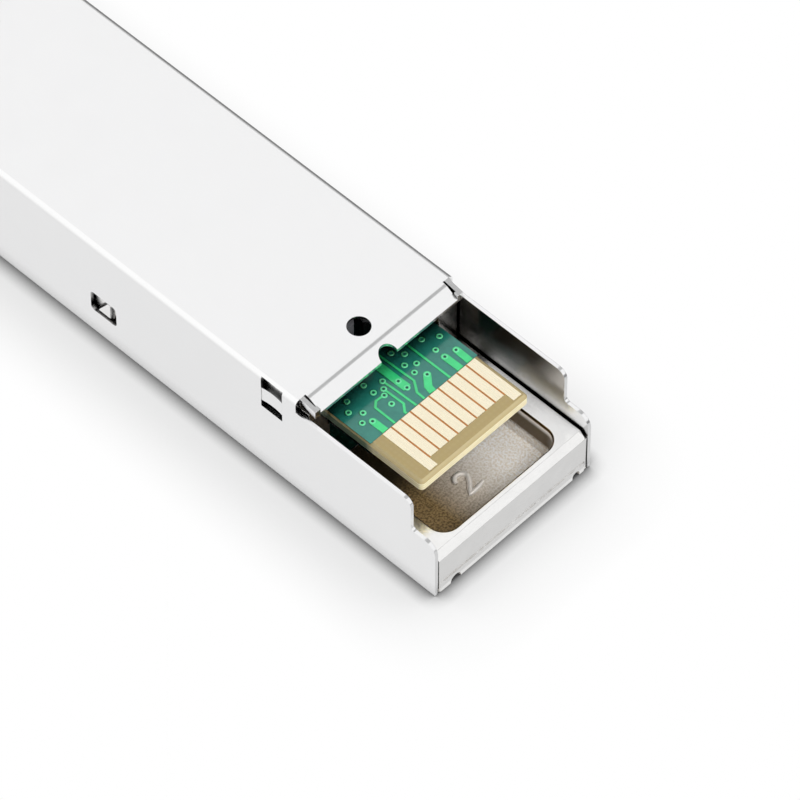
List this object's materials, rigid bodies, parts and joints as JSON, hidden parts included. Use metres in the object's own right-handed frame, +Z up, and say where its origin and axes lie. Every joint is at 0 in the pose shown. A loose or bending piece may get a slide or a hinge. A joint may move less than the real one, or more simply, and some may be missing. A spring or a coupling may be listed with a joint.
{
  "type": "sfp transceiver",
  "caption": "Duplex optical SFP transceiver: die-cast body, folded sheet cover, gold card edge, plug ports and a wire bail that works its release latch.",
  "frame": {"origin": "on the label side, under the middle of the whole part's box", "axes": "+X across the module, +Y along it from the card edge to the optical ports, +Z up from the label side to the latch side"},
  "size_m": [0.014, 0.0582, 0.0102],
  "materials": {
    "nickel_plated_casting": "satin nickel plate over a fine cast grain",
    "plated_sheet": "bright satin nickel plate",
    "board_laminate": "glass-epoxy laminate with green solder mask",
    "gold_contact": "smooth gold plate",
    "chip_black": "moulded epoxy",
    "ferrite_grey": "sintered ferrite",
    "capacitor_tan": "fired ceramic",
    "resistor_black": "glazed ceramic",
    "gap_pad": "soft filled silicone",
    "turned_steel": "fine turned",
    "gilt_can": "thin gold plate",
    "flex_amber": "polyimide film",
    "spring_wire": "drawn and plated wire",
    "grip_plastic": "fine moulded texture"
  },
  "bodies": {
    "module": {"housing": "nickel_plated_casting", "cover": "plated_sheet", "circuit_board": "board_laminate", "contact_pads_upper": "gold_contact", "contact_pads_lower": "gold_contact", "laser_driver": "chip_black", "receiver_amplifier": "chip_black", "microcontroller": "chip_black", "memory_chip": "chip_black", "inductors": "ferrite_grey", "capacitors": "capacitor_tan", "resistors": "resistor_black", "thermal_pad": "gap_pad", "transmitter_barrel": "turned_steel", "receiver_barrel": "turned_steel", "transmitter_can": "gilt_can", "receiver_can": "gilt_can", "transmitter_flex": "flex_amber", "receiver_flex": "flex_amber", "optics_retainer": "plated_sheet", "latch_pin": "turned_steel", "latch_spring": "spring_wire", "bail_keepers": "plated_sheet"},
    "latch": {"latch_lever": "nickel_plated_casting"},
    "release_bail": {"bail": "spring_wire", "bail_grip": "grip_plastic"}
  },
  "joints": [
    {"name": "bail_hinge", "type": "hinge", "parent": "module", "child": "release_bail", "pos_m": [0, 0.02612, 0.0092], "axis": [1, 0, 0], "range_deg": [0, 90]},
    {"name": "latch_rock", "type": "hinge", "parent": "module", "child": "latch", "pos_m": [0, 0.02013, 0.0089], "axis": [1, 0, 0], "range_deg": [0, 8], "deforming": ["latch_spring"]}
  ],
  "couplings": [
    {"joint": "latch_rock", "follows": "bail_hinge", "ratio": 0.08888}
  ]
}
